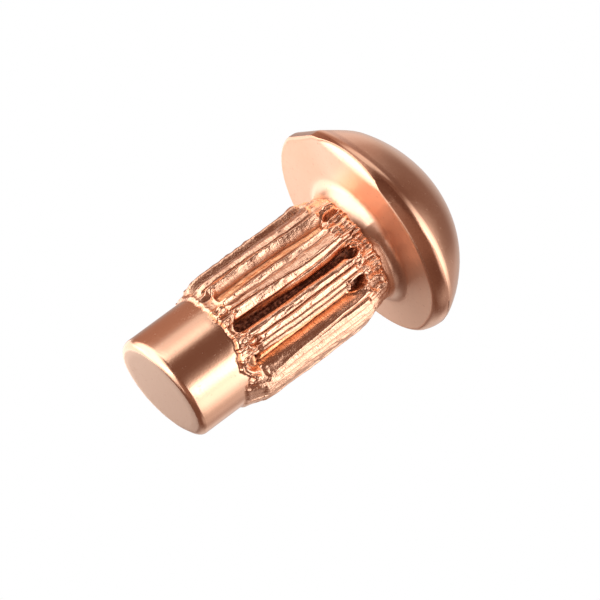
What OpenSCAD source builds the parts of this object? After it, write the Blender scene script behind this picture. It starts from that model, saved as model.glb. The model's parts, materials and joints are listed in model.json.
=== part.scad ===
// Round head rivet with a knurled shank.
// One cold headed piece: a domed head, a flared neck, a shank whose ribs are pressed up
// between straight grooves, and a smooth pilot that enters the hole first.
// It stands on the flat end of the pilot, with the axis along +Z and the head on top.

/* [Head] */
// Diameter of the head
head_d = 3.7; // [3.3:0.05:4.2]
// Height of the head above its seat
head_h = 1.4; // [1.1:0.05:1.7]
// Height of the upright rim below the dome
rim_h = 0.29; // [0.22:0.01:0.45]
// Rounding of the rim's lower corner
seat_round = 0.18; // [0.05:0.01:0.22]

/* [Shank] */
// Length of the shank from the head's seat to the flat end
shank_l = 4.05; // [3.6:0.05:6]
// Diameter of the smooth pilot
pilot_d = 1.83; // [1.75:0.01:1.95]
// Rounding of the pilot's end
pilot_round = 0.14; // [0.05:0.01:0.25]
// Length of the pilot below the ribs
pilot_l = 1.05; // [0.7:0.05:1.4]
// Diameter of the smooth neck under the head
neck_d = 1.9; // [1.8:0.01:1.95]
// Radius of the flare from the neck to the seat
neck_flare = 0.29; // [0.15:0.01:0.3]
// Length of the neck between the ribs and the seat
neck_l = 0.31; // [0.31:0.01:0.6]

/* [Knurl] */
// Number of ribs
rib_count = 10; // [8:1:12]
// Diameter over the crests of the ribs
knurl_d = 2.15; // [2.1:0.01:2.35]
// Diameter at the floors of the deepest grooves
groove_d = 1.6; // [1.5:0.01:1.7]
// Width of a groove between its lips, before its own share
groove_w = 0.3; // [0.22:0.01:0.36]
// Width of a groove's floor, before its own share
floor_w = 0.12; // [0.06:0.01:0.16]
// Depth of the folds along a crest
fold_depth = 0.045; // [0:0.005:0.06]
// Length over which the ribs and grooves run out at each end
run_out = 0.32; // [0.2:0.01:0.45]
// How far a crest drops at the ends of its rib
crest_drop = 0.07; // [0.03:0.005:0.1]
// How far the collar at each end stands above the smooth shank
collar_step = 0.035; // [0.02:0.005:0.05]
// How far the torn ends of the ribs wander along the shank
torn_edge = 0.07; // [0:0.01:0.1]
// How far the torn ends stand up or lie down
torn_lip = 0.02; // [0:0.005:0.03]
// Lean of the ribs from one end to the other, in degrees
rib_lean = 4; // [-8:1:8]
// How far a rib bends off its line, in degrees
rib_bend = 1.2; // [0:0.1:2]

/* [Hidden] */
$fn = 96;
copper = [0.80, 0.50, 0.38];
head_r = head_d / 2;
pilot_r = pilot_d / 2;
neck_r = neck_d / 2;
knurl_r = knurl_d / 2;
groove_r = groove_d / 2;
seat_z = shank_l;
top_z = seat_z + head_h;

// The dome is the part of a sphere that passes through the rim's edge and the apex
dome_h = head_h - rim_h;
dome_r = (head_r * head_r + dome_h * dome_h) / (2 * dome_h);

// The ribbed sleeve, from its torn edge on the pilot to its end at the neck
sleeve_z = pilot_l;
sleeve_l = seat_z - neck_l - pilot_l;
// Depth to which the sleeve's ends sink into the smooth shank, and their radius there
root_l = 0.12;
root_r = 0.8 * pilot_r;
// Inside the sleeve the smooth shank tapers to that radius, below the floors of the grooves
taper_start = 0.2 * run_out;
taper_end = 0.95 * run_out;
rib_pitch = 360 / rib_count;
// Rings along the sleeve, closer together towards its ends
sleeve_steps = 26;

// Angle at the crests that a width along the surface takes
function surface_angle(width) = width / knurl_r * 180 / PI;

// The grooves of one half of the shank, which the other half repeats: degrees off the even
// pitch, and the groove's shares of the full width and of the full depth
groove_forms = [
    [5, 0.95, 0.75],
    [-2, 1.1, 0.8],
    [-1.5, 1.15, 0.72],
    [-0.5, 0.75, 1],
    [-2.5, 1.05, 0.77],
];

// Half angle of a groove's mouth, and the share of it that the floor takes
mouth_a = surface_angle(groove_w) / 2;
floor_share = floor_w / groove_w;
wall_share = (1 + floor_share) / 2;

// One groove and the crest after it. Each point has the stretch that it lies on, its share of
// that stretch, its share of the full height, and its share of the fold's depth.
on_groove = 0;
on_crest = 1;
on_next_groove = 2;
section = [
    [on_groove, -floor_share, 0, 0],
    [on_groove, floor_share, 0, 0],
    [on_groove, wall_share, 0.55, 0],
    [on_groove, 1, 0.95, 0],
    [on_crest, 0.07, 1, 0],
    [on_crest, 0.16, 0.99, 0.75],
    [on_crest, 0.25, 1, 0.05],
    [on_crest, 0.41, 0.98, 0],
    [on_crest, 0.49, 0.97, 1],
    [on_crest, 0.57, 1, 0],
    [on_crest, 0.75, 0.99, 0.35],
    [on_crest, 0.89, 1, 0],
    [on_crest, 1, 0.93, 0],
    [on_next_groove, -wall_share, 0.5, 0],
];
section_n = len(section);
ring_n = rib_count * section_n;

// A number from -1 to 1 that differs from rib to rib
function uneven(rib, kind) = sin(rib * 137.5 + kind * 71) * cos(rib * 61 + kind * 29);

// Form of the groove that a rib follows, and the angle of its middle
function groove_form(rib) = groove_forms[(rib % rib_count) % len(groove_forms)];
function groove_middle(rib) = rib * rib_pitch + groove_form(rib)[0];
function groove_half(rib) = mouth_a * groove_form(rib)[1];

// Radius of a groove's floor
function groove_floor(rib) = knurl_r - (knurl_r - groove_r) * groove_form(rib)[2];

// Angle of a point of the section on a straight rib
function section_angle(rib, k) =
    let (share = section[k][1])
    let (crest_start = groove_middle(rib) + groove_half(rib))
    let (crest_end = groove_middle(rib + 1) - groove_half(rib + 1))
    section[k][0] == on_groove ? groove_middle(rib) + groove_half(rib) * share
    : section[k][0] == on_crest ? crest_start + (crest_end - crest_start) * share
    : groove_middle(rib + 1) + groove_half(rib + 1) * share;

// Share of the sleeve's length at a ring, closer together towards both ends
function ring_share(i) = (1 - cos(180 * i / sleeve_steps)) / 2;

// 1 at the nearer end of the sleeve, falling to 0 where the run-out begins
function end_share(along) = max(0, 1 - min(along, sleeve_l - along) / run_out);

// Angle of a point: a rib leans, and bends a little on its own
function point_angle(rib, k, share) =
    section_angle(rib, k)
    + rib_lean * (share - 0.5)
    + rib_bend * (uneven(rib, 1) * sin(180 * share) + uneven(rib, 2) * sin(360 * share));

// Radius of a point: the floor rises to a torn collar at both ends, and the crest drops to it
function point_radius(rib, k, along) =
    let (height = section[k][2])
    let (fold = section[k][3])
    let (end = end_share(along))
    let (collar = (along < sleeve_l / 2 ? pilot_r : neck_r) + collar_step)
    let (floor_r = groove_floor(section[k][0] == on_next_groove ? rib + 1 : rib))
    let (low = floor_r + (collar - floor_r) * pow(end, 0.7))
    let (crest = knurl_r - crest_drop * end * end)
    let (fold_here = fold_depth * fold * (1 - end) * (0.8 + 0.2 * uneven(rib, 3)))
    let (lip = torn_lip * uneven(rib * section_n + k, 9) * end * (1 - end) * 4)
    max(low, low + (crest - low) * height - fold_here) + max(0, lip);

// Height of a point: the ends are torn, so each point there lies a little up or down
function point_z(rib, k, along) =
    let (down = 0.6 * uneven(rib, 4) + 0.4 * uneven(rib * section_n + k, 5))
    let (up = 0.6 * uneven(rib, 6) + 0.4 * uneven(rib * section_n + k, 7))
    sleeve_z + along
    + torn_edge * down * max(0, 1 - along / run_out)
    + torn_edge * up * max(0, 1 - (sleeve_l - along) / run_out);

// A ring of the sleeve's skin
function skin_ring(i) = [
    for (rib = [0 : rib_count - 1], k = [0 : section_n - 1])
        let (share = ring_share(i))
        let (along = share * sleeve_l)
        let (a = point_angle(rib, k, share))
        let (r = point_radius(rib, k, along))
        [r * cos(a), r * sin(a), point_z(rib, k, along)]
];

// A ring inside the smooth shank that closes one end of the sleeve
function root_ring(share, z) = [
    for (rib = [0 : rib_count - 1], k = [0 : section_n - 1])
        let (a = point_angle(rib, k, share))
        [root_r * cos(a), root_r * sin(a), z]
];

// The two triangles that join one point of a ring to the next ring
function band_faces(i) = [
    for (j = [0 : ring_n - 1])
        let (a = i * ring_n + j)
        let (b = i * ring_n + (j + 1) % ring_n)
        each [[a, a + ring_n, b], [b, a + ring_n, b + ring_n]]
];

// The ribs and grooves: one closed solid whose ends sink into the smooth shank
module ribbed_sleeve() {
    rings = concat(
        [root_ring(0, sleeve_z + root_l)],
        [for (i = [0 : sleeve_steps]) skin_ring(i)],
        [root_ring(1, sleeve_z + sleeve_l - root_l)]
    );
    ring_total = len(rings);
    points = [for (ring = rings, point = ring) point];
    sides = [for (i = [0 : ring_total - 2], face = band_faces(i)) face];
    bottom = [for (j = [0 : ring_n - 1]) j];
    top = [for (j = [ring_n - 1 : -1 : 0]) (ring_total - 1) * ring_n + j];
    polyhedron(points, concat(sides, [bottom, top]), convexity = 6);
}

// Square corner of side r with a quarter circle left out, the corner at the origin
module corner_waste(r) {
    difference() {
        square(r);
        translate([r, r])
            circle(r);
    }
}

// Smooth pilot with a rounded end, tapered where the ribs' sleeve covers it
module pilot() {
    rotate_extrude()
        difference() {
            polygon([
                [0, 0],
                [pilot_r, 0],
                [pilot_r, sleeve_z + taper_start],
                [root_r, sleeve_z + taper_end],
                [0, sleeve_z + taper_end],
            ]);
            translate([pilot_r, 0])
                mirror([1, 0])
                    corner_waste(pilot_round);
        }
}

// Smooth neck that widens out of the sleeve and flares to the seat
module neck() {
    sleeve_top = sleeve_z + sleeve_l;
    rotate_extrude()
        union() {
            polygon([
                [0, sleeve_top - taper_end],
                [root_r, sleeve_top - taper_end],
                [neck_r, sleeve_top - taper_start],
                [neck_r, seat_z + rim_h],
                [0, seat_z + rim_h],
            ]);
            translate([neck_r, seat_z])
                mirror([0, 1])
                    corner_waste(neck_flare);
        }
}

// Domed head with a short upright rim
module head() {
    rotate_extrude()
        union() {
            translate([0, seat_z])
                difference() {
                    square([head_r, rim_h]);
                    translate([head_r, 0])
                        mirror([1, 0])
                            corner_waste(seat_round);
                }
            intersection() {
                translate([0, top_z - dome_r])
                    circle(dome_r);
                translate([0, seat_z + rim_h])
                    square([head_r, dome_h]);
            }
        }
}

module rivet() {
    color(copper)
        union() {
            pilot();
            ribbed_sleeve();
            neck();
            head();
        }
}

rivet();
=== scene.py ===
"""A round head rivet of satin copper, seen from below its pilot as in the photograph."""

import json
import math

import bpy
import numpy as np
from mathutils import Matrix, Vector, noise


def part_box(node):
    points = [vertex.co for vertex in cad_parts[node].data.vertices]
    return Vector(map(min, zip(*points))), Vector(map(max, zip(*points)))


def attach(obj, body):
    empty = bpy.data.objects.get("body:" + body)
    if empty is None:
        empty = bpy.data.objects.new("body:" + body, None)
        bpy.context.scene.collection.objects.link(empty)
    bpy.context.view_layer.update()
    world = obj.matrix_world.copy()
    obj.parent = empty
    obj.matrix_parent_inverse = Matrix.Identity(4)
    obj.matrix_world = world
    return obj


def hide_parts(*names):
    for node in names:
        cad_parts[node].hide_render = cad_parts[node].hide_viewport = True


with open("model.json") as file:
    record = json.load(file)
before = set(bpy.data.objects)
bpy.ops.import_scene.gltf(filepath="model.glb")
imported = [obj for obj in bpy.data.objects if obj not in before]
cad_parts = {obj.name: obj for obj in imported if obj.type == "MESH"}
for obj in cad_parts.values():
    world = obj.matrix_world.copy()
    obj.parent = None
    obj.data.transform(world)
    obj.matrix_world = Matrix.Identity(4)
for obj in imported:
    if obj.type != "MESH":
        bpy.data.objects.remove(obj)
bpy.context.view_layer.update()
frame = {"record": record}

# Sizes in millimetres, from the solid that this piece stands for and from its mounts
MM = 0.001
mounts = {mount["name"]: mount for mount in frame["record"]["mounts"]}
rivet_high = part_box("rivet")[1]
TOP_Z = rivet_high[2] / MM
SEAT_Z = mounts["head_seat"]["pos_m"][2] / MM
HEAD_R = rivet_high[0] / MM
PILOT_R = mounts["pilot"]["dims"]["r_mm"]
# The neck, and the upright rim under a dome that is part of a sphere
NECK_R = 0.955
RIM_H = 0.29
DOME_H = TOP_Z - SEAT_Z - RIM_H
DOME_R = (HEAD_R**2 + DOME_H**2) / (2 * DOME_H)

# Angles in degrees run round the axis from the upper left outline of the photograph, and 90
# faces the camera, so the photograph shows 0 to 180. The far half's ribs repeat those of the
# near half, and so do those just past either end of a whole turn. PHOTO_TURN takes these
# angles to those of the part's own frame.
PHOTO_TURN = math.radians(200)
HALF_TURN = 180
REPEATS = (-1, 0, 1, 2)

# Columns of points round the rivet, closer together where the photograph shows them
SEEN = (-6, 186)
SEEN_COLUMNS = 400
HIDDEN_COLUMNS = 180
# Rings of points from the flat end to the top of the dome: radii on the flat end, numbers of
# rings, and shares of the way along a stretch
END_RADII = (0.0, 0.2, 0.4, 0.55, 0.66)
PILOT_CORNER_RINGS = 12
PILOT_SHARES = np.linspace(0.1, 0.9, 7)
LAST_PILOT_SHARE = 0.98
# Shares of the ribs' length, closer together at their torn ends: first, last and number
RIB_SHARES = ((0, 0.13, 30), (0.143, 0.83, 54), (0.838, 1, 34))
NECK_RINGS = 15
SEAT_SHARES = (0.1, 0.25, 0.4, 0.52, 0.6, 0.66, 0.72, 0.78, 0.84, 0.9, 0.96)
HEAD_CORNER_RINGS = 18
RIM_SHARES = (0.5, 0.8, 1.0)
DOME_EDGE_SHARES = (0.008, 0.022, 0.036)
DOME_SHARES = np.linspace(0.055, 1, 25)

# Faults of this one rivet. The pilot's end is cut a few degrees off square: its slope towards
# angles 0 and 90. Its corner is rounder on one side. A list of pairs gives a value at an angle.
END_SKEW = (0.075, 0.02)
PILOT_CORNER = ((0, 0.13), (50, 0.155), (75, 0.13), (100, 0.095), (140, 0.085), (180, 0.12),
                (205, 0.2), (235, 0.19), (275, 0.13), (320, 0.11))
# The upper shank bends towards the head, which sits off the axis and leans
SHANK_BEND = 0.035
BEND_FROM, BEND_TO = 3.0, 3.75
HEAD_SHIFT = 0.147
HEAD_LEAN = 0.0776
# The dome sits off the head's middle, and a little low
DOME_SHIFT = (0.01, 0.035)
DOME_DROP = 0.02
# Radius of the flare from the neck to the seat, and its height as a share of that
FLARE = ((0, 0.2), (33, 0.22), (56, 0.24), (84, 0.26), (94, 0.21), (103, 0.15), (160, 0.16),
         (190, 0.2), (270, 0.22))
FLARE_TALL = ((0, 1.3), (84, 1.3), (98, 1), (180, 1), (200, 1.2))
# A flat on the rim: angle it faces, distance from the head's middle, and the least cosine from
# its angle, so that it stays on its side
RIM_FLAT_TURN = 14
RIM_FLAT_AT = 1.8
RIM_FLAT_SIDE = 0.1
# Height over the seat of the edge between rim and dome, how far down the rim it is rounded, how
# far in from the rim and below the edge its middle ring lies, as shares of that, and the share
# of the dome that bends to meet it
CREASE_UP = ((-60, 0.26), (-20, 0.23), (0, 0.215), (30, 0.215), (45, 0.195), (54, 0.195), (60, 0.205),
             (66, 0.22), (72, 0.235), (78, 0.25), (92, 0.275), (102, 0.29), (115, 0.305), (150, 0.3),
             (180, 0.27), (220, 0.27))
CREASE_ROUND = 0.035
CREASE_RING = (0.1, 0.4)
CREASE_REACH = 0.22
# The seat is dished a little, and part of its outer zone is a flat facet that faces one way
SEAT_DISH = 0.06
FACET_TURN = 57
FACET_AT = 1.67
FACET_SLOPE = 0.5
FACET_SOFT = 0.004
# The seat's outer corner is round on the far side, sharp at the facet and chamfered after it:
# width and height of its round, then shape, share and width of its chamfer
CORNER_ACROSS = ((-150, 0.07), (-60, 0.06), (-8, 0.05), (20, 0.06), (32, 0.04), (40, 0.02), (75, 0.02),
                 (100, 0.165), (175, 0.15), (192, 0.08))
CORNER_UP = ((-150, 0.1), (-60, 0.09), (-8, 0.05), (20, 0.035), (32, 0.02), (40, 0.01), (75, 0.015),
             (100, 0.25), (175, 0.24), (192, 0.12))
CHAMFER_SLOPE = math.radians(68)
CHAMFER_LENGTH = 0.12
CHAMFER_LOW_R = 0.05
CHAMFER_HIGH_R = 0.3
CHAMFER_ARC_POINTS = 12
CHAMFER_BELOW_CREASE = CREASE_ROUND + 0.012
CHAMFER_SHARE = ((0, 0), (74, 0), (77, 1), (135, 1), (150, 0.6), (165, 0.3), (195, 0))
CHAMFER_WIDE = ((75, 0.1), (80, 0.5), (85, 0.9), (92, 1.2), (101, 1.35), (122, 1.35), (135, 1.3),
                (150, 1), (180, 1))

# Ribs, folds and grooves, line by line: angles at four heights, radii at the lowest and highest
LINE_HEIGHTS = (1.35, 1.95, 2.6, 3.3)
RIB_LINES = (
    (10, 10, 10, 10, 0.87, 0.87), (18, 18, 18, 18, 0.885, 0.885), (24, 24, 24, 25, 1.04, 1.04),
    (29.5, 29.5, 32, 34.5, 1.065, 1.065), (33, 33, 36, 38, 1.03, 1.03), (34, 34, 37, 39, 0.985, 1.0),
    (38, 37.5, 39.5, 42.5, 0.985, 1.0), (39, 38.7, 40.5, 44.2, 1.07, 1.07), (44.5, 44, 46, 51, 0.885, 0.89),
    (55, 52.3, 53.5, 57, 0.88, 0.885), (56.3, 53.5, 54.8, 58.3, 0.945, 0.945),
    (58.5, 56.5, 57.5, 60, 1.0, 1.0), (60, 60.3, 61.2, 61.7, 1.062, 1.062), (62, 63, 64, 64, 1.02, 1.02),
    (63, 64.3, 65.3, 66, 0.995, 0.995), (66, 67.5, 69.3, 70, 1.03, 1.025), (68, 71, 75, 75, 1.04, 1.045),
    (69.5, 71.8, 75.8, 75.8, 0.995, 1.015), (71.5, 72.8, 76.8, 76.8, 1.06, 1.055),
    (78, 80, 80.5, 79.3, 0.985, 1.02), (79, 80.8, 81.5, 80.5, 0.9, 0.99), (81, 82, 83, 82, 0.83, 1.03),
    (83.5, 84.5, 86.5, 85.5, 0.8, 0.93), (85, 86, 88, 87.5, 0.79, 0.82), (89.5, 91, 91.3, 92.5, 0.8, 0.82),
    (91, 92.2, 92.5, 93.7, 0.96, 0.95), (93, 94.5, 94.5, 96, 1.03, 1.02), (96, 96.5, 96.5, 99, 1.042, 1.035),
    (100.5, 101, 100.5, 101.5, 1.035, 1.03), (101.7, 102, 101.8, 102.8, 0.985, 0.985),
    (103, 103.2, 103, 104, 1.052, 1.05), (106.5, 107.3, 107.5, 107.5, 1.045, 1.04),
    (107.2, 108, 108.2, 108.5, 1.01, 1.01), (107.8, 108.7, 109, 109.3, 1.05, 1.045),
    (110.5, 112.3, 112.5, 112, 1.04, 1.035), (111.2, 113, 113.2, 112.7, 1.005, 1.005),
    (111.8, 113.7, 114, 113.5, 1.045, 1.04), (113.5, 117, 117.3, 117, 1.03, 1.03),
    (115, 118, 118.3, 118.2, 0.95, 0.95), (118.5, 119.5, 119.8, 119.5, 0.84, 0.88),
    (121, 121.3, 122.5, 122.8, 0.88, 0.89), (124, 124.3, 123.5, 123.5, 0.885, 0.88),
    (125.6, 125.6, 125.3, 125.3, 0.835, 0.84), (131.5, 130, 129.7, 129.5, 0.945, 0.94),
    (139, 135.5, 133.5, 132.5, 1.045, 1.03), (140, 136.5, 134.5, 134, 1.06, 1.035),
    (141, 137.3, 136, 136.3, 1.055, 1.01), (142, 138, 137.5, 138, 1.055, 1.055),
    (143.5, 142, 141.5, 142, 1.075, 1.075), (144.3, 144.1, 143.9, 144.6, 1.03, 1.03),
    (149.5, 149.5, 149.5, 150, 1.08, 1.08), (150.1, 150.1, 150.1, 150.6, 1.03, 1.03),
    (156, 156, 156, 156, 1.082, 1.08), (156.6, 156.6, 156.6, 156.6, 1.03, 1.03),
    (163, 163, 163, 162.5, 1.08, 1.075), (164, 164, 164, 163.5, 0.92, 0.92),
    (168, 168, 168, 168, 0.885, 0.885), (172, 172, 172, 172, 1.04, 1.04),
    (176, 176.5, 176.5, 177, 1.062, 1.055), (178.5, 179, 179, 179.5, 1.03, 1.03),
    (181, 181, 181, 182, 1.078, 1.078), (186, 186, 186, 186, 1.07, 1.065),
)
# Heights of the sleeve's lower and upper edges, and heights at which the ribs stop where torn
LOWER_EDGE = ((0, 1.06), (20, 1.1), (50, 1.1), (62, 1.09), (68, 1.06), (74, 1.1), (92, 1.1), (104, 1.04),
              (112, 0.98), (122, 0.96), (128, 1.02), (135, 1.1), (140, 1.0), (146, 0.9), (160, 0.9),
              (172, 0.88), (185, 0.88), (220, 1.1), (290, 1.0), (320, 1.1))
LOW_STOP = ((0, 1.25), (32, 1.28), (40, 1.3), (44, 1.38), (50, 1.32), (54, 1.33), (58, 1.37), (61, 1.3),
            (65, 1.34), (70, 1.34), (75, 1.4), (78, 1.3), (84, 1.25), (89, 1.27), (92, 1.36), (96, 1.3),
            (99, 1.42), (103, 1.48), (107, 1.42), (111, 1.36), (115, 1.36), (119, 1.32), (125, 1.28),
            (130, 1.28), (136, 1.3), (141, 1.34), (146, 1.2), (220, 1.3), (250, 1.4), (290, 1.3), (320, 1.4))
HIGH_STOP = ((0, 3.5), (30, 3.5), (38, 3.42), (44, 3.48), (50, 3.46), (54, 3.4), (60, 3.36), (66, 3.38),
             (71, 3.48), (76, 3.46), (80, 3.46), (85, 3.5), (92, 3.46), (97, 3.5), (101, 3.4), (106, 3.36),
             (110, 3.42), (118, 3.43), (126, 3.4), (131, 3.3), (136, 3.36), (142, 3.34), (150, 3.4),
             (220, 3.5), (260, 3.4), (300, 3.5))
UPPER_EDGE = ((0, 3.7), (9, 3.73), (21, 3.78), (35, 3.82), (52, 3.8), (71, 3.77), (90, 3.8), (110, 3.78),
              (129, 3.8), (150, 3.81), (165, 3.77), (180, 3.72), (220, 3.76), (300, 3.8))
# How far the ribs run out where they aren't torn, and how torn they are
LOW_RUN = ((0, 0.5), (30, 0.4), (45, 0.22), (130, 0.2), (145, 0.35), (160, 0.45), (185, 0.55), (220, 0.3),
           (320, 0.3))
HIGH_RUN = ((0, 0.3), (30, 0.35), (130, 0.4), (150, 0.5), (170, 0.5), (185, 0.45), (220, 0.3), (320, 0.3))
TORN = ((0, 0.15), (30, 0.35), (46, 0.9), (60, 1), (130, 1), (138, 0.7), (146, 0.1), (185, 0.1), (220, 1),
        (320, 1))
# Where the ribs are notched all along
NOTCHED = ((-20, 1), (30, 1), (44, 0.3), (60, 0.2), (140, 0.2), (160, 0.5), (190, 1), (300, 1))
# Radii of the torn metal behind each stop, the share of a rib's height that it keeps, and half
# the height over which a rib breaks off
LOW_COLLAR_R, HIGH_COLLAR_R = 0.945, 0.975
COLLAR_STEP = 0.02
CRUMPLED_SHARE = 0.5
CRUMPLED_FLOOR_R, CRUMPLED_MIDDLE_R = 0.9, 0.99
LOW_BREAK, HIGH_BREAK = 0.03, 0.035
# Length of the step in which the sleeve's edges end, how much longer it is where not torn, and
# how far past the edge it begins
EDGE_STEP, WHOLE_EDGE_STEP = 0.02, 0.06
EDGE_START = -0.004
# Gap to the nearest ring of smooth metal and to the next one, and its undercut where torn
EDGE_GAP, PLAIN_GAP = 0.006, 0.02
UNDERCUT = 0.004
# Torn lips that follow each edge: share of the way to the stop, half width and rise, then how
# far they drift from that share, the mean and the spread of their rise, and their cells of noise
LIPS = ((0.16, 0.14, 0.03), (0.8, 0.18, 0.02))
LIP_DRIFT = 0.16
LIP_MEAN, LIP_SPREAD = 0.7, 1.2
LIP_CELLS = 6
LOW_LIPS_SEED, HIGH_LIPS_SEED = 2.9, 8.4
DRIFT_SEED_STEP, RISE_SEED_STEP = 3.3, 5.1
# Least distance from an edge to its stop, over which the lips are spread
LEAST_TORN = 0.05
# Torn forms at the ribs' ends: angle, height, half widths round and along the shank, and rise
FORMS = (
    (67, 1.23, 3, 0.09, 0.07), (61.5, 1.2, 1.6, 0.06, -0.03), (36, 1.5, 2.4, 0.3, -0.03),
    (97.5, 1.22, 2.6, 0.08, 0.04), (103.5, 1.4, 3.4, 0.12, -0.07), (122, 1.22, 7.5, 0.11, -0.07),
    (141.5, 1.02, 1.4, 0.12, -0.05), (145.5, 1.1, 2, 0.16, 0.03), (136, 1.15, 3, 0.05, 0.03),
    (90, 1.16, 1.4, 0.1, 0.04), (84, 1.14, 6, 0.025, 0.03), (75, 1.26, 1.2, 0.12, 0.04),
    (109, 1.2, 1.4, 0.14, 0.05), (58, 3.62, 1.4, 0.18, 0.06), (63.5, 3.6, 1.3, 0.2, -0.035),
    (68, 3.58, 1.5, 0.2, 0.05), (73.5, 3.56, 1.2, 0.18, -0.03), (77.5, 3.6, 1.5, 0.18, 0.05),
    (81.5, 3.7, 1.4, 0.1, 0.06), (86, 3.62, 1.5, 0.18, 0.05), (92, 3.68, 1.5, 0.12, 0.055),
    (98, 3.66, 1.3, 0.12, -0.04), (102.5, 3.58, 1.6, 0.2, 0.05), (107.5, 3.62, 1.3, 0.15, -0.04),
    (112, 3.6, 1.6, 0.2, 0.055), (117, 3.62, 1.4, 0.14, 0.04), (124, 3.62, 1.6, 0.14, 0.05),
    (134, 3.6, 1.6, 0.15, 0.045), (139, 3.55, 1.3, 0.15, -0.03),
)
# Hollows: angle, height, half widths round and along the shank, and radius of their floors
HOLLOWS = ((52, 3.62, 4, 0.14, 0.84), (94, 3.46, 4.2, 0.13, 0.84), (119, 3.28, 8, 0.16, 0.79))
# Curled lips round those forms: angle, height, half widths of the ring, rise, and 1 for its
# upper half, -1 for its lower half or 0 for both
CURLS = (
    (50, 1.44, 8, 0.13, 0.045, -1), (85, 1.33, 8.5, 0.12, 0.045, -1), (121, 1.24, 10, 0.2, 0.05, -1),
    (121, 1.22, 13, 0.25, 0.04, -1), (103.5, 1.4, 5, 0.16, 0.03, -1), (129, 3.56, 6.5, 0.14, 0.055, 0),
    (52, 3.6, 7, 0.2, 0.04, 1), (119, 3.28, 9, 0.2, 0.02, 0), (93, 3.48, 7, 0.18, 0.04, 1),
)
# Marks that cross the wall of one groove: angle, height and half widths, then depth and pitch
CHATTER = ((52.6, 2.2, 1.6, 0.42), (41.5, 1.55, 3, 0.2))
CHATTER_DEPTH = 0.008
CHATTER_PITCH = 0.058
# Shares of its half widths between which a form fades, and of the width of a curled lip
FORM_FADE = (0.75, 1.1)
HOLLOW_FADE = (0.8, 1.05)
CHATTER_FADE = (0.7, 1.1)
CURL_FADE = (0.06, 0.2)
# Half the height over which half a lip is cut off, and the share of the wobble that lips have
CURL_CUT = 0.03
CURL_WOBBLE = 0.5

# Unevenness in layers: size of each, its cells round and along the shank, and its seed. Waves
# and crumples turn a rib, in degrees, and a wobble stretches a form, as a share of its width.
RIB_WAVE = ((0.5, 2, 2.5, 0.3), (0.4, 7, 5, 4.3))
RIB_SKIN = ((0.006, 12, 2.5, 2.2), (0.007, 26, 9, 9.2))
RIB_NOTCHES = ((0.014, 14, 8, 3.4),)
STOP_JAG = ((0.05, 7, 3, 1.1), (0.012, 20, 9, 6.6))
CRUMPLE = ((3, 3, 2, 7.7),)
BURR = ((0.002, 16, 12, 1.9),)
WOBBLE = ((0.25, 6, 4, 3.7), (0.1, 15, 12, 5.2))
LOWER_RAG = ((0.035, 9, 0, 3.1), (0.02, 24, 0, 8.2))
UPPER_RAG = ((0.035, 9, 0, 5.7), (0.02, 24, 0, 1.4))

# Marks that the material reads, each from 0 to 1 but for the grit
# Marks: painted shade, painted shade on groove floors, roughness, texture strength, paleness with painted
# light, painted warmth
MARKS = ("painted_shade", "depth", "dull", "grit", "pale_and_painted_light", "warm")
# Roughness, and strength of the fine texture, of each surface
SMOOTH_DULL, SMOOTH_GRIT = 0.2, 0.3
END_DULL, END_GRIT = 0.33, 0.6
CORNER_GRIT = 0.5
RIB_DULL, RIB_GRIT = 0.25, 2.6
SEAT_DULL, SEAT_GRIT = 0.42, 0.8
# What each ring of a corner takes off the roughness and the paleness of the flat beside it
END_DULL_STEP, END_PALE_STEP = 0.04, 0.3
SEAT_DULL_STEP = 0.05
# Roughness that painted shade at the pilot's edge and in crevices, the shaded groove floors and the
# flare add, and that bare crests and the facet take off
EDGE_SHADE_DULL, SHADED_DULL, FLOOR_SHADE_DULL, FLARE_DULL = 0.1, 0.12, 0.15, 0.15
CREST_SHINE, FACET_SHINE = 0.05, 0.14
# Heights over the seat between which the facet turns glossy and takes a painted highlight
FACET_BRIGHT = (0.045, 0.07)
# Painted shade on the neck's rings nearest the ribs, what each ring adds to its grit, and its painted light
NECK_SHADE = (0.9, 0.5, 0)
NECK_GRIT_STEP = 0.05
NECK_PAINTED_LIGHT = 0.5
# Window of columns and rows that a place on the ribs is compared with, and how far below or
# above its surroundings it has to lie to take full painted shade or to be bare. Torn metal takes less
# painted shade.
BLUR = (7, 3)
CAVITY_DEEP = 0.028
CREST_HIGH = 0.02
TORN_LESS_SHADE = 0.55
# Radii between which the groove floors take painted shade, and painted warmth from light that is mirrored
# twice
DEPTH_R = (0.835, 0.88)
WARM_R = (0.89, 0.93)
# Painted shade on the rim, on the lowest part of the dome and on the flare, and painted light on parts of
# the seat
RIM_SHADE = ((-60, 0.2), (0, 0.3), (30, 0.3), (38, 0.8), (72, 0.9), (80, 0.65), (150, 0.5), (180, 0))
DOME_SHADE = ((-20, 0), (20, 0.35), (45, 0.6), (76, 0.6), (84, 0.2), (110, 0))
FLARE_SHADE = ((70, 0), (95, 0.6), (150, 0.6), (185, 0))
SEAT_PAINTED_LIGHT = ((-60, 0.2), (15, 0.3), (33, 0.9), (50, 0.6), (65, 0), (105, 0), (130, 0.6), (180, 0.7))


def around(angle, pairs, period=360):
    """A value that runs straight between the pairs of angle and value, right round."""
    return np.interp(angle, [p[0] for p in pairs], [p[1] for p in pairs], period=period)


def grain(angle, z, across, along, seed):
    """Smooth noise from -1 to 1 round the shank, with cells across and along it."""
    turn, level = np.broadcast_arrays(np.radians(angle), np.asarray(z) * along + seed)
    points = np.stack([np.cos(turn) * across, np.sin(turn) * across, level], -1).reshape(-1, 3)
    return np.array([noise.noise(Vector(p)) for p in points.tolist()]).reshape(turn.shape)


def uneven(angle, z, layers):
    """Layers of noise, each with its size, cells across and along, and seed, added up."""
    return sum(size * grain(angle, z, across, along, seed) for size, across, along, seed in layers)


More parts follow.
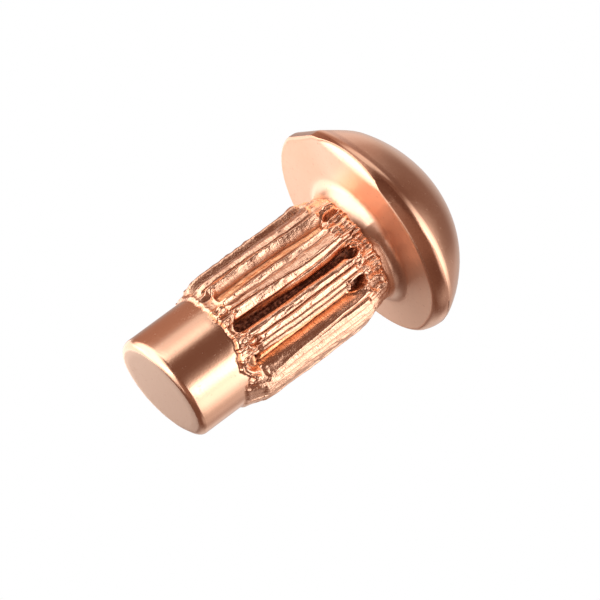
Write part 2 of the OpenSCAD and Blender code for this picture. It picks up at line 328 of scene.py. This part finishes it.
def smooth(low, high, value):
    """0 up to the low value and 1 from the high one, with a soft rise between them."""
    t = np.clip((value - low) / (high - low), 0, 1)
    return t * t * (3 - 2 * t)


def turn_gap(angle, middle):
    """Degrees from a form's middle, the form being there on both halves of the shank."""
    return np.mod(angle - middle + HALF_TURN / 2, HALF_TURN) - HALF_TURN / 2


def form_gap(angle, z, middle, height, wide, tall):
    """Distance from a form's middle as a share of its half widths."""
    return np.hypot(turn_gap(angle, middle) / wide, (z - height) / tall)


def rib_lines(angle, z):
    """Radius of ribs and grooves before their ends are torn."""
    lines = np.array(RIB_LINES)
    radius = np.empty_like(angle)
    for i, level in enumerate(z.mean(axis=1)):
        turns = np.array([np.interp(level, LINE_HEIGHTS, line[:4]) for line in lines])
        share = np.interp(level, (LINE_HEIGHTS[0], LINE_HEIGHTS[-1]), (0, 1))
        radii = lines[:, 4] + (lines[:, 5] - lines[:, 4]) * share
        turns = np.concatenate([turns + k * HALF_TURN for k in REPEATS])
        radius[i] = np.interp(angle[i], turns, np.tile(radii, len(REPEATS)))
    return radius


def lips(share, angle, seed):
    """Torn lips that follow an edge, broken up round the shank."""
    total = 0
    for k, (middle, wide, rise) in enumerate(LIPS):
        middle = middle + LIP_DRIFT * grain(angle, 0, LIP_CELLS, 0, seed + DRIFT_SEED_STEP * k)
        height = LIP_MEAN + LIP_SPREAD * grain(angle, 0, LIP_CELLS, 0, seed + RISE_SEED_STEP * k)
        total = total + rise * height * np.exp(-(((share - middle) / wide) ** 2))
    return total


def torn_edge(angle, edge, rag):
    """Height of an edge of the sleeve, ragged where it is torn."""
    return around(angle, edge) + uneven(angle, 0, rag) * around(angle, TORN)


def end_share(past_stop, half_break, from_edge, run, torn_here):
    """1 at an edge of the sleeve. Along the ribs it falls to 0, at once where they are torn."""
    broken = 1 - smooth(-half_break, half_break, past_stop)
    faded = 1 - smooth(0, run, from_edge)
    return torn_here * broken + (1 - torn_here) * faded


def add_forms(radius, angle, z, wave):
    """Radii with the torn forms, hollows, curled lips and chatter marks."""
    wobble = uneven(angle, z, WOBBLE)
    for *form, rise in FORMS:
        away = form_gap(angle, z, *form) + wobble
        radius = radius + rise * (1 - smooth(*FORM_FADE, away))
    for *form, floor in HOLLOWS:
        away = form_gap(angle, z, *form) + wobble
        radius = radius + (np.minimum(radius, floor) - radius) * (1 - smooth(*HOLLOW_FADE, away))
    for *form, rise, side in CURLS:
        away = form_gap(angle, z, *form) + CURL_WOBBLE * wobble
        kept = 1 if side == 0 else smooth(-CURL_CUT, CURL_CUT, side * (z - form[1]))
        radius = radius + rise * kept * (1 - smooth(*CURL_FADE, np.abs(away - 1)))
    for form in CHATTER:
        away = form_gap(angle + wave, z, *form)
        ripple = CHATTER_DEPTH * np.sin(2 * math.pi * z / CHATTER_PITCH)
        radius = radius + ripple * (1 - smooth(*CHATTER_FADE, away))
    return radius


def rib_rows(angle, lower, upper):
    """Radii and heights of the ribs, a row for each share of their length, and how torn they are."""
    shares = np.concatenate([np.linspace(*stretch) for stretch in RIB_SHARES])
    z = lower + (upper - lower) * shares[:, None]
    from_low, from_high = z - lower, upper - z
    low_side = from_low < from_high
    angle = np.broadcast_to(angle, z.shape)
    torn_here = around(angle, TORN)

    wave = uneven(angle, z, RIB_WAVE)
    base = rib_lines(angle + wave, z) + uneven(angle, z, RIB_SKIN)
    base = base + around(angle, NOTCHED) * uneven(angle, z, RIB_NOTCHES)

    # The ribs stop short of the edges, behind torn metal in which they run on crumpled
    jag = uneven(angle, z, STOP_JAG)
    low_stop, high_stop = around(angle, LOW_STOP), around(angle, HIGH_STOP)
    low_mix = end_share(z - low_stop - jag, LOW_BREAK, from_low, around(angle, LOW_RUN), torn_here)
    high_mix = end_share(high_stop - z - jag, HIGH_BREAK, from_high, around(angle, HIGH_RUN), torn_here)
    crumple = uneven(angle, z, CRUMPLE)
    crumpled = np.maximum(rib_lines(angle + wave + crumple, z), CRUMPLED_FLOOR_R)
    torn = CRUMPLED_SHARE * (crumpled - CRUMPLED_MIDDLE_R) + uneven(angle, z, BURR)
    low_lips = lips(from_low / np.maximum(low_stop - lower, LEAST_TORN), angle, LOW_LIPS_SEED)
    high_lips = lips(from_high / np.maximum(upper - high_stop, LEAST_TORN), angle, HIGH_LIPS_SEED)
    torn = torn + np.where(low_side, low_lips, high_lips)
    collar = np.where(low_side, LOW_COLLAR_R, HIGH_COLLAR_R) + (COLLAR_STEP + torn) * torn_here
    radius = base + (collar - base) * np.maximum(low_mix, high_mix)
    radius = add_forms(radius, angle, z, wave)

    # Both edges end in a step
    step = EDGE_STEP + WHOLE_EDGE_STEP * (1 - torn_here)
    radius = PILOT_R + (radius - PILOT_R) * smooth(EDGE_START, step, from_low)
    radius = NECK_R + (radius - NECK_R) * smooth(EDGE_START, step, from_high)
    return radius, z, np.maximum(low_mix, high_mix) * torn_here


def blurred(field, columns, rows):
    """A field averaged over a window, round the shank and along it."""
    total = sum(np.roll(field, k, axis=1) for k in range(-columns, columns + 1)) / (2 * columns + 1)
    padded = np.pad(total, ((rows, rows), (0, 0)), mode="edge")
    return sum(padded[k:k + len(field)] for k in range(2 * rows + 1)) / (2 * rows + 1)


def chamfer_profile(steps):
    """Radii short of the rim and heights over the seat, along the chamfered corner."""
    slope = CHAMFER_SLOPE
    low = [(CHAMFER_LOW_R * math.sin(t), CHAMFER_LOW_R * (1 - math.cos(t)))
           for t in np.linspace(0, slope, CHAMFER_ARC_POINTS)]
    x, y = low[-1]
    x, y = x + CHAMFER_LENGTH * math.cos(slope), y + CHAMFER_LENGTH * math.sin(slope)
    high = [(x + CHAMFER_HIGH_R * (math.sin(t) - math.sin(slope)),
             y + CHAMFER_HIGH_R * (math.cos(slope) - math.cos(t)))
            for t in np.linspace(slope, math.pi / 2, CHAMFER_ARC_POINTS)]
    points = np.array(low + high)
    run = np.concatenate([[0], np.cumsum(np.hypot(*np.diff(points, axis=0).T))])
    at = np.linspace(0, run[-1], steps)
    return points[-1, 0] - np.interp(at, run, points[:, 0]), np.interp(at, run, points[:, 1])


class Skin:
    """Rings of points from the middle of the end face to the top of the dome, in millimetres."""

    def __init__(self):
        self.rings, self.marks = [], []

    def ring(self, angle, radius, z, shift=(0, 0), painted_shade=0, depth=0, dull=SMOOTH_DULL, grit=SMOOTH_GRIT,
             pale_and_painted_light=0, warm=0):
        """One ring, with the painted shade and light, shine and texture that the metal has there."""
        blank = np.zeros(len(angle))
        turn = np.radians(angle)
        x = radius * np.cos(turn) + shift[0] - HEAD_LEAN * np.maximum(0, z - SEAT_Z)
        y = radius * np.sin(turn) + shift[1]
        self.rings.append(np.stack([x + blank, y + blank, z + blank], -1))
        self.marks.append(np.stack([mark + blank for mark in (painted_shade, depth, dull, grit, pale_and_painted_light, warm)], -1))


def add_pilot(skin, fine, lower):
    """Flat end, its rounded corner, and the smooth pilot up to the torn edge of the ribs."""
    coarse = fine[::2]
    turn = np.radians(coarse)
    slope = END_SKEW[0] * np.cos(turn) + END_SKEW[1] * np.sin(turn)
    corner = around(coarse, PILOT_CORNER)
    for r in END_RADII:
        skin.ring(coarse, r, -slope * r, dull=END_DULL, grit=END_GRIT, pale_and_painted_light=1)
    for i, t in enumerate(np.radians(np.linspace(0, 90, PILOT_CORNER_RINGS))):
        r = PILOT_R - corner * (1 - math.sin(t))
        z = corner * (1 - math.cos(t)) - slope * r
        dull = max(SMOOTH_DULL, END_DULL - END_DULL_STEP * i)
        skin.ring(coarse, r, z, dull=dull, grit=CORNER_GRIT, pale_and_painted_light=max(0, 1 - END_PALE_STEP * i))

    start = corner - slope * PILOT_R
    end = lower - PLAIN_GAP
    for share in PILOT_SHARES:
        skin.ring(coarse, PILOT_R, start + (end[::2] - start) * share)
    start = np.repeat(start, 2)
    torn_here = around(fine, TORN)
    skin.ring(fine, PILOT_R, start + (end - start) * LAST_PILOT_SHARE)
    # Painted shade on the ring just under the ribs' torn edge
    skin.ring(fine, PILOT_R - UNDERCUT * torn_here, lower - EDGE_GAP, painted_shade=torn_here,
              dull=SMOOTH_DULL + EDGE_SHADE_DULL * torn_here)


def add_ribs(skin, fine, lower, upper):
    """Ribs and grooves, with painted shade where they lie below their surroundings."""
    radius, z, torn = rib_rows(fine, lower, upper)
    mean = blurred(radius, *BLUR)
    # Painted shade where a place lies below its surroundings, less on torn metal
    painted_shade = np.clip((mean - radius) / CAVITY_DEEP, 0, 1) * (1 - TORN_LESS_SHADE * torn)
    crest = np.clip((radius - mean) / CREST_HIGH, 0, 1)
    # Painted shade on the deepest groove floors, painted warmth on shallower ones
    depth = 1 - smooth(*DEPTH_R, radius)
    warm = (1 - smooth(*WARM_R, radius)) * (1 - depth)
    dull = RIB_DULL + SHADED_DULL * painted_shade + FLOOR_SHADE_DULL * depth - CREST_SHINE * crest
    bend = SHANK_BEND * smooth(BEND_FROM, BEND_TO, z)
    for k in range(len(radius)):
        skin.ring(fine, radius[k], z[k], (bend[k], 0), painted_shade[k], depth[k], dull[k], RIB_GRIT, 0, warm[k])


def add_neck(skin, fine, upper):
    """Neck, and the flare up to the seat."""
    coarse = fine[::2]
    flare = around(fine, FLARE)
    flare_h = flare * around(fine, FLARE_TALL)
    flare_shade = around(coarse, FLARE_SHADE)
    base = upper + EDGE_GAP
    for i, share in enumerate(np.linspace(0, 1, NECK_RINGS)):
        z = base + (SEAT_Z - base) * math.sin(share * math.pi / 2)
        t = np.clip((z - SEAT_Z + flare_h) / flare_h, 0, 1)
        r = NECK_R + flare * (1 - np.sqrt(1 - t * t))
        bend = SHANK_BEND * smooth(BEND_FROM, BEND_TO, z)
        dull = RIB_DULL + FLARE_DULL * t
        # Painted shade on the neck's rings nearest the ribs
        if i < len(NECK_SHADE):
            skin.ring(fine, r, z, (bend, 0), painted_shade=NECK_SHADE[i], dull=dull)
        else:
            # A painted shade band on the flare, and painted light all over it
            band_shade = flare_shade * math.sin(math.pi * share)
            skin.ring(coarse, r[::2], z[::2], (bend[::2], 0), band_shade, 0, dull[::2],
                      SMOOTH_GRIT + NECK_GRIT_STEP * i, NECK_PAINTED_LIGHT)


class Head:
    """Outline of the head at each angle, about its own middle. Heights are over the seat."""

    def __init__(self, angle):
        self.angle = angle
        self.turn = np.radians(angle)
        towards_flat = np.cos(self.turn - math.radians(RIM_FLAT_TURN))
        flat = RIM_FLAT_AT / np.maximum(RIM_FLAT_SIDE, towards_flat)
        self.rim_r = np.minimum(HEAD_R, flat)
        self.crease_up = around(angle, CREASE_UP)
        self.across = around(angle, CORNER_ACROSS)
        self.up = around(angle, CORNER_UP)
        self.cut = around(angle, CHAMFER_SHARE)
        chamfer_in, self.chamfer_up = chamfer_profile(HEAD_CORNER_RINGS)
        self.chamfer_in = chamfer_in[:, None] * around(angle, CHAMFER_WIDE)
        self.seat_start = NECK_R + around(angle, FLARE)
        self.seat_end = self.rim_r - self.across + (self.across - self.chamfer_in[0]) * self.cut

    def seat_height(self, r):
        """Height of the dished seat and of its facet."""
        facet = FACET_SLOPE * (r * np.cos(self.turn - math.radians(FACET_TURN)) - FACET_AT)
        return SEAT_DISH * (r - self.seat_start) + 0.5 * (facet + np.sqrt(facet**2 + FACET_SOFT**2))

    def corner(self, i, t):
        """Radius and height of ring i of the outer corner, which is t radians up its round."""
        r_round = self.rim_r - self.across * (1 - math.sin(t))
        z_round = self.seat_height(self.rim_r - self.across) + self.up * (1 - math.cos(t))
        low = self.seat_height(self.rim_r - self.chamfer_in[0])
        high = self.crease_up - CHAMFER_BELOW_CREASE
        z_cut = low + (high - low) * self.chamfer_up[i] / self.chamfer_up[-1]
        r = r_round + (self.rim_r - self.chamfer_in[i] - r_round) * self.cut
        return r, z_round + (z_cut - z_round) * self.cut


def add_seat(skin, head):
    """The head's underside, duller than its facet."""
    # Painted light on parts of the seat, and a painted highlight on the facet
    pale_and_painted_light = around(head.angle, SEAT_PAINTED_LIGHT)
    for share in SEAT_SHARES:
        centre = SHANK_BEND + (HEAD_SHIFT - SHANK_BEND) * share
        r = head.seat_start + (head.seat_end - head.seat_start) * share
        height = head.seat_height(r)
        bright = smooth(*FACET_BRIGHT, height)
        skin.ring(head.angle, r, SEAT_Z + np.maximum(0, height), (centre, 0),
                  dull=SEAT_DULL - FACET_SHINE * bright, grit=SEAT_GRIT, pale_and_painted_light=np.maximum(pale_and_painted_light, bright))


def add_rim(skin, head):
    """The seat's outer corner, the rim, and the rounded edge at the foot of the dome."""
    shift = (HEAD_SHIFT, 0)
    # A painted shade band up the corner and rim, stronger on some sides
    band_shade = around(head.angle, RIM_SHADE)
    for i, t in enumerate(np.radians(np.linspace(0, 90, HEAD_CORNER_RINGS))):
        r, height = head.corner(i, t)
        skin.ring(head.angle, r, SEAT_Z + height, shift, band_shade * math.sin(t),
                  dull=max(SMOOTH_DULL, SEAT_DULL - SEAT_DULL_STEP * i), grit=CORNER_GRIT)
    start = SEAT_Z + height
    crease = SEAT_Z + head.crease_up
    end = crease - CREASE_ROUND
    for share in RIM_SHARES:
        skin.ring(head.angle, head.rim_r, start + (end - start) * share, shift, band_shade if share < 1 else 0)
    inward, below = CREASE_RING
    skin.ring(head.angle, head.rim_r - inward * CREASE_ROUND, crease - below * CREASE_ROUND, shift)


def add_dome(skin, head):
    """The dome: a sphere about its own axis, bent down to the edge where it meets the rim."""
    foot_x = head.rim_r * np.cos(head.turn) - DOME_SHIFT[0]
    foot_y = head.rim_r * np.sin(head.turn) - DOME_SHIFT[1]
    foot = np.hypot(foot_x, foot_y)
    foot_turn = np.degrees(np.arctan2(foot_y, foot_x))
    sphere_z = TOP_Z - DOME_DROP - DOME_R
    gap = sphere_z + np.sqrt(DOME_R**2 - foot**2) - (SEAT_Z + head.crease_up)
    shift = (HEAD_SHIFT + DOME_SHIFT[0], DOME_SHIFT[1])
    for share in np.concatenate([DOME_EDGE_SHARES, DOME_SHARES]):
        away = foot * (1 - share)
        z = sphere_z + np.sqrt(DOME_R**2 - away**2) - gap * (1 - smooth(0, CREASE_REACH, share))
        # Painted shade on the dome's lowest rings
        band_shade = around(head.angle, DOME_SHADE) if share in DOME_EDGE_SHARES[1:] else 0
        skin.ring(foot_turn, away, z, shift, band_shade)


def build_skin():
    """All rings of the rivet, from the flat end to the top of the dome."""
    seen = np.linspace(SEEN[0], SEEN[1], SEEN_COLUMNS, endpoint=False)
    hidden = np.linspace(SEEN[1], SEEN[0] + 360, HIDDEN_COLUMNS, endpoint=False)
    fine = np.concatenate([seen, hidden])
    lower = torn_edge(fine, LOWER_EDGE, LOWER_RAG)
    upper = torn_edge(fine, UPPER_EDGE, UPPER_RAG)
    skin = Skin()
    add_pilot(skin, fine, lower)
    add_ribs(skin, fine, lower, upper)
    add_neck(skin, fine, upper)
    head = Head(fine[::2])
    add_seat(skin, head)
    add_rim(skin, head)
    add_dome(skin, head)
    return skin


def join_rings(a, n, b, m):
    """Faces between a ring of n points from index a and the next one, of m points from index b.

    A ring has one point, as many as the other, half as many or twice as many.
    """
    if n == 1:
        return [(a, b + (j + 1) % m, b + j) for j in range(m)]
    if m == 1:
        return [(b, a + j, a + (j + 1) % n) for j in range(n)]
    if n == m:
        return [(a + j, a + (j + 1) % n, b + (j + 1) % n, b + j) for j in range(n)]
    faces = []
    if n < m:
        for j in range(n):
            near, middle, far = a + (j + 1) % n, b + 2 * j + 1, b + (2 * j + 2) % m
            faces += [(a + j, middle, b + 2 * j), (a + j, near, middle), (near, far, middle)]
    else:
        for j in range(m):
            near, middle, far = b + (j + 1) % m, a + 2 * j + 1, a + (2 * j + 2) % n
            faces += [(a + 2 * j, middle, b + j), (middle, near, b + j), (middle, far, near)]
    return faces


def build_body():
    """The whole rivet as one closed skin."""
    skin = build_skin()
    # The first and the last ring are single points
    for rings in (skin.rings, skin.marks):
        rings[0], rings[-1] = rings[0][:1], rings[-1][:1]
    sizes = [len(ring) for ring in skin.rings]
    starts = [sum(sizes[:i]) for i in range(len(sizes))]
    faces = []
    for i in range(len(sizes) - 1):
        faces += join_rings(starts[i], sizes[i], starts[i + 1], sizes[i + 1])

    c, s = math.cos(PHOTO_TURN), math.sin(PHOTO_TURN)
    verts = np.concatenate(skin.rings) @ np.array([[c, s, 0], [-s, c, 0], [0, 0, 1]]) * MM
    mesh = bpy.data.meshes.new("rivet_body")
    mesh.from_pydata(verts.tolist(), [], faces)
    mesh.polygons.foreach_set("use_smooth", [True] * len(mesh.polygons))
    values = np.concatenate(skin.marks).astype(np.float32)
    for k, name in enumerate(MARKS):
        mesh.attributes.new(name, "FLOAT", "POINT").data.foreach_set("value", values[:, k])
    mesh.update()
    body = bpy.data.objects.new("rivet_body", mesh)
    bpy.context.collection.objects.link(body)
    return body


def add(tree, kind, sockets=(), **settings):
    """A node with its settings, and its sockets set to values or linked to outputs."""
    node = tree.nodes.new(kind)
    for name, value in settings.items():
        setattr(node, name, value)
    for socket, value in sockets:
        if isinstance(value, bpy.types.NodeSocket):
            tree.links.new(value, node.inputs[socket])
        else:
            node.inputs[socket].default_value = value
    return node


# Colours of the metal: clean, with its cloudy parts and its paleness with painted light, painted warmth in
# the grooves, painted shade mixed with dark specks, and the dark and light grains of the painted shade on
# the grooves' floors
CLEAN = (1.0, 0.61, 0.42, 1)
CLOUDY = (0.97, 0.58, 0.39, 1)
PALE_AND_PAINTED_LIGHT = (1.0, 0.74, 0.56, 1)
GROOVE_WARM = (1.0, 0.47, 0.22, 1)
SHADE_AND_SPECK_BROWN = (0.42, 0.16, 0.09, 1)
FLOOR_SHADE_DARK = (0.13, 0.045, 0.028, 1)
FLOOR_SHADE_LIGHT = (0.55, 0.25, 0.16, 1)
# Scales that take metres to millimetres: alike all ways, drawn out along the axis or across it
EVEN_SCALE = (1000, 1000, 1000)
DRAWN_SCALE = (1000, 1000, 90)
CROSSED_SCALE = (300, 300, 1000)
# Noise: cells per millimetre and levels of detail
CLOUD = (1.4, 3)
STREAK = (26, 3)
STIPPLE = (38, 3)
RIPPLE = (26, 2)
SPECK = (15, 2)
FLECK = (20, 4)
# Parts of the noise over which each of them goes from none to full
CLOUD_RANGE = (0.35, 0.65)
SPECK_RANGE = (0.64, 0.72)
FLECK_RANGE = (0.46, 0.62)
GRAIN_RANGE = (0.3, 0.7)
# How strongly the marks colour the metal: least and most painted shade in a crevice, then shares
PAINTED_SHADE_LOW, PAINTED_SHADE_HIGH = 0.5, 0.95
SPECK_DIRT = 0.25
PALE_AND_PAINTED_LIGHT_SHARE, WARM_SHARE, FLOOR_SHADE_SHARE = 0.85, 0.8, 0.95
# What streaks and specks add to the roughness, and the shares of the noise in the bumps
STREAK_DULL = 0.05
SPECK_DULL = 0.08
BUMP_HEIGHT = 0.000002
STREAK_BUMP, STIPPLE_BUMP, RIPPLE_BUMP = 0.35, 0.8, 0.8


def copper():
    """Satin copper: cloudy tarnish, streaks along the shank, a stipple, and painted shade and painted light.
    """
    mat = bpy.data.materials.new("satin_copper")
    mat.use_nodes = True
    tree = mat.node_tree
    shader = tree.nodes["Principled BSDF"]
    place = add(tree, "ShaderNodeTexCoord").outputs["Object"]

    def scaled(scale):
        return add(tree, "ShaderNodeMapping", [("Vector", place), ("Scale", scale)]).outputs[0]

    def cells(vector, scale, detail):
        sockets = [("Vector", vector), ("Scale", scale), ("Detail", detail)]
        return add(tree, "ShaderNodeTexNoise", sockets).outputs[0]

    def maths(operation, a, b):
        return add(tree, "ShaderNodeMath", [(0, a), (1, b)], operation=operation).outputs[0]

    def mark(name):
        return add(tree, "ShaderNodeAttribute", attribute_name=name).outputs["Fac"]

    def spread(value, low, high, to_low, to_high):
        sockets = [(0, value), (1, low), (2, high), (3, to_low), (4, to_high)]
        return add(tree, "ShaderNodeMapRange", sockets).outputs[0]

    def mix(factor, a, b):
        return add(tree, "ShaderNodeMix", [(0, factor), (6, a), (7, b)], data_type="RGBA").outputs[2]

    even, drawn, crossed = scaled(EVEN_SCALE), scaled(DRAWN_SCALE), scaled(CROSSED_SCALE)
    cloud = spread(cells(even, *CLOUD), *CLOUD_RANGE, 0, 1)
    streak = cells(drawn, *STREAK)
    stipple = cells(even, *STIPPLE)
    ripple = cells(crossed, *RIPPLE)
    speck = spread(cells(even, *SPECK), *SPECK_RANGE, 0, 1)
    fleck = spread(cells(even, *FLECK), *FLECK_RANGE, 0, 1)
    painted_shade, depth, dull, grit, pale_and_painted_light, warm = [mark(name) for name in MARKS]

    clean = mix(cloud, CLEAN, CLOUDY)
    # Paler tone and painted light where marked
    clean = mix(maths("MULTIPLY", pale_and_painted_light, PALE_AND_PAINTED_LIGHT_SHARE), clean, PALE_AND_PAINTED_LIGHT)
    # Painted warmth in the grooves, from light mirrored twice
    clean = mix(maths("MULTIPLY", warm, WARM_SHARE), clean, GROOVE_WARM)
    # Painted shade where marked, with dark specks over the textured metal
    shade_and_specks = maths("MULTIPLY", painted_shade, spread(stipple, *GRAIN_RANGE, PAINTED_SHADE_LOW, PAINTED_SHADE_HIGH))
    shade_and_specks = maths("MAXIMUM", shade_and_specks, maths("MULTIPLY", speck, maths("MULTIPLY", grit, SPECK_DIRT)))
    shaded_and_specked = mix(shade_and_specks, clean, SHADE_AND_SPECK_BROWN)
    # Painted shade on the deepest groove floors, with lighter flecks
    floor_shade_colour = mix(fleck, FLOOR_SHADE_DARK, FLOOR_SHADE_LIGHT)
    colour = mix(maths("MULTIPLY", depth, FLOOR_SHADE_SHARE), shaded_and_specked, floor_shade_colour)
    tree.links.new(colour, shader.inputs["Base Color"])

    streaky = maths("MULTIPLY", grit, spread(streak, *GRAIN_RANGE, -STREAK_DULL, STREAK_DULL))
    rough = maths("ADD", maths("ADD", dull, streaky), maths("MULTIPLY", speck, SPECK_DULL))
    tree.links.new(rough, shader.inputs["Roughness"])
    shader.inputs["Metallic"].default_value = 1.0
    height = maths("ADD", maths("MULTIPLY", streak, STREAK_BUMP), maths("MULTIPLY", stipple, STIPPLE_BUMP))
    height = maths("ADD", height, maths("MULTIPLY", ripple, RIPPLE_BUMP))
    bump = add(tree, "ShaderNodeBump", [("Height", height), ("Strength", grit), ("Distance", BUMP_HEIGHT)])
    tree.links.new(bump.outputs[0], shader.inputs["Normal"])
    return mat


# Floor and the room that the metal reflects
FLOOR_Z = -60
FLOOR_R = 400
FLOOR_SIDES = 96
FLOOR_GREY = (0.9, 0.9, 0.9, 1)
FLOOR_ROUGHNESS = 0.9
ROOM = (0.175, 0.093, 0.07, 1)

# Camera, from a fit of the outline: the axis rises 36.6 degrees in the picture and points
# 19.8 degrees away from the camera, and the seat's centre falls on the pixel below
PICTURE = 600
SEAT_PIXEL = (360.9, 242.3)
PIXELS_PER_MM = 64.57
DISTANCE = 61.0
AXIS_RISE = math.radians(36.6)
AXIS_TILT = math.radians(19.8)
SENSOR_WIDTH = 36
CLIP_NEAR, CLIP_FAR = 0.002, 2

# Soft boxes round the rivet. Degrees right of and above the line to the camera, width and
# height in degrees, roll, width of the soft edge, brightness and colour
LAMP_DISTANCE = 0.5
WHITE = (1, 1, 1)
COOL = (0.9, 0.98, 1)
WARM = (1, 0.6, 0.46)
BOXES = (
    ("left_box", -70, 13, 66, 78, 20, 40, 2.05, WHITE),
    ("left_low", -58, -15, 12, 11, 2, 3, 2.7, WHITE),
    ("left_slim", -31, -3, 16, 15, 1, 3, 1.8, WHITE),
    ("slim_low", -40, -43, 12, 13, 0, 3, 1.2, WHITE),
    ("overhead", 53, 84, 60, 31, -9, 14, 0.7, WHITE),
    ("top_strip", -14, 56, 24, 15, -10, 12, 1.4, WHITE),
    ("right_box", 55, -7, 24, 17, -17, 6, 1.75, WHITE),
    ("right_wide", 82, -6, 52, 58, 27, 35, 1.75, WHITE),
    ("far_low", 144, -28, 40, 27, -3, 12, 0.28, WHITE),
    ("far_side", 135, -8, 40, 20, 5, 10, 0.22, WHITE),
    ("far_bottom", 120, -50, 24, 40, 10, 25, 0.38, WHITE),
    ("back_left", -130, -4, 70, 45, -15, 4, 1.26, WHITE),
    ("backdrop_edge", 135, 30, 30, 75, 0, 17, 0.06, WHITE),
    ("backdrop", 175, 0, 36, 80, 6, 36, 0.55, COOL),
    ("wall_left", -148, 54, 65, 53, -5, 18, 0.22, WARM),
    ("wall_below", -2, -37, 67, 42, 6, 23, 0.11, WARM),
)


def camera_axes():
    """Rotation that takes a direction in the part's frame to the camera's frame."""
    up = Vector((math.cos(AXIS_TILT) * math.cos(AXIS_RISE),
                 math.cos(AXIS_TILT) * math.sin(AXIS_RISE),
                 -math.sin(AXIS_TILT)))
    left = Vector((-math.sin(AXIS_RISE), math.cos(AXIS_RISE), 0))
    near = up.cross(left)
    c, s = math.cos(PHOTO_TURN), math.sin(PHOTO_TURN)
    x = left * c - near * s
    y = left * s + near * c
    return Matrix((x, y, up)).transposed()


def make_camera():
    """Camera that sees the seat's centre on its pixel, at the photograph's scale."""
    data = bpy.data.cameras.new("camera")
    cam = bpy.data.objects.new("camera", data)
    bpy.context.collection.objects.link(cam)
    to_camera = camera_axes()
    centre = (PICTURE - 1) / 2
    across, down = SEAT_PIXEL
    seat = Vector(((across - centre) / PIXELS_PER_MM, (centre - down) / PIXELS_PER_MM, -DISTANCE))
    place = Vector((0, 0, SEAT_Z)) - to_camera.transposed() @ seat
    cam.matrix_world = Matrix.Translation(place * MM) @ to_camera.transposed().to_4x4()
    data.sensor_width = SENSOR_WIDTH
    data.lens = PIXELS_PER_MM * DISTANCE * SENSOR_WIDTH / PICTURE
    data.clip_start = CLIP_NEAR
    data.clip_end = CLIP_FAR
    bpy.context.scene.camera = cam
    return to_camera


def soften(data, sizes, blur):
    """A glow that fades over the blur, in degrees, towards the edges of a lamp."""
    data.use_nodes = True
    tree = data.node_tree
    place = add(tree, "ShaderNodeNewGeometry").outputs["Parametric"]
    across = add(tree, "ShaderNodeSeparateXYZ", [(0, place)])
    edges = []
    for k, degrees in enumerate(sizes):
        inside = add(tree, "ShaderNodeMath", [(0, across.outputs[k]), (1, 0.5)], operation="SUBTRACT")
        inside = add(tree, "ShaderNodeMath", [(0, inside.outputs[0])], operation="ABSOLUTE")
        share = blur / (degrees + blur)
        ramp = [(0, inside.outputs[0]), (1, 0.5 - share), (2, 0.5), (3, 1), (4, 0)]
        edges.append(add(tree, "ShaderNodeMapRange", ramp, interpolation_type="SMOOTHSTEP").outputs[0])
    glow = add(tree, "ShaderNodeMath", [(0, edges[0]), (1, edges[1])], operation="MULTIPLY")
    tree.links.new(glow.outputs[0], tree.nodes["Emission"].inputs["Strength"])


def soft_box(to_camera, name, right, rise, width, height, roll, blur, strength, colour):
    """A rectangular lamp with soft edges, at angles from the line to the camera."""
    data = bpy.data.lights.new(name, "AREA")
    data.shape = "RECTANGLE"
    data.size = 2 * LAMP_DISTANCE * math.tan(math.radians((width + blur) / 2))
    data.size_y = 2 * LAMP_DISTANCE * math.tan(math.radians((height + blur) / 2))
    data.energy = strength * math.pi * data.size * data.size_y
    data.color = colour
    soften(data, (width, height), blur)
    lamp = bpy.data.objects.new(name, data)
    bpy.context.collection.objects.link(lamp)

    a, e = math.radians(right), math.radians(rise)
    way = Vector((math.sin(a) * math.cos(e), math.sin(e), math.cos(a) * math.cos(e)))
    centre = Vector((0, 0, TOP_Z / 2)) * MM
    back = to_camera.transposed() @ way
    up = to_camera.transposed() @ Vector((0, 1, 0))
    side = up.cross(back).normalized()
    up = back.cross(side)
    axes = Matrix((side, up, back)).transposed().to_4x4()
    turned = axes @ Matrix.Rotation(math.radians(roll), 4, "Z")
    lamp.matrix_world = Matrix.Translation(centre + back * LAMP_DISTANCE) @ turned
    lamp.visible_camera = False


def make_world():
    """White all round, but a dim warm room in what the metal reflects."""
    world = bpy.data.worlds.new("studio")
    bpy.context.scene.world = world
    world.use_nodes = True
    tree = world.node_tree
    tree.nodes.clear()
    mirrored = add(tree, "ShaderNodeLightPath").outputs["Is Glossy Ray"]
    white = add(tree, "ShaderNodeBackground", [("Color", (*WHITE, 1))]).outputs[0]
    room = add(tree, "ShaderNodeBackground", [("Color", ROOM)]).outputs[0]
    mix = add(tree, "ShaderNodeMixShader", [(0, mirrored), (1, white), (2, room)]).outputs[0]
    add(tree, "ShaderNodeOutputWorld", [("Surface", mix)])


def make_floor():
    """Pale floor, low enough for a camera that looks up at the end of the pilot."""
    bpy.ops.mesh.primitive_circle_add(vertices=FLOOR_SIDES, radius=FLOOR_R * MM, fill_type="NGON")
    floor = bpy.context.object
    floor.name = "floor"
    floor.data.transform(Matrix.Translation((0, 0, FLOOR_Z * MM)))
    mat = bpy.data.materials.new("pale_floor")
    mat.use_nodes = True
    shader = mat.node_tree.nodes["Principled BSDF"]
    shader.inputs["Base Color"].default_value = FLOOR_GREY
    shader.inputs["Roughness"].default_value = FLOOR_ROUGHNESS
    shader.inputs["Specular IOR Level"].default_value = 0
    floor.data.materials.append(mat)
    floor.visible_glossy = False
    floor.visible_shadow = False


body = build_body()
body.data.materials.append(copper())
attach(body, "root")
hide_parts("rivet")

to_camera = make_camera()
make_world()
make_floor()
for box in BOXES:
    soft_box(to_camera, *box)

bpy.context.scene.view_settings.view_transform = "Standard"
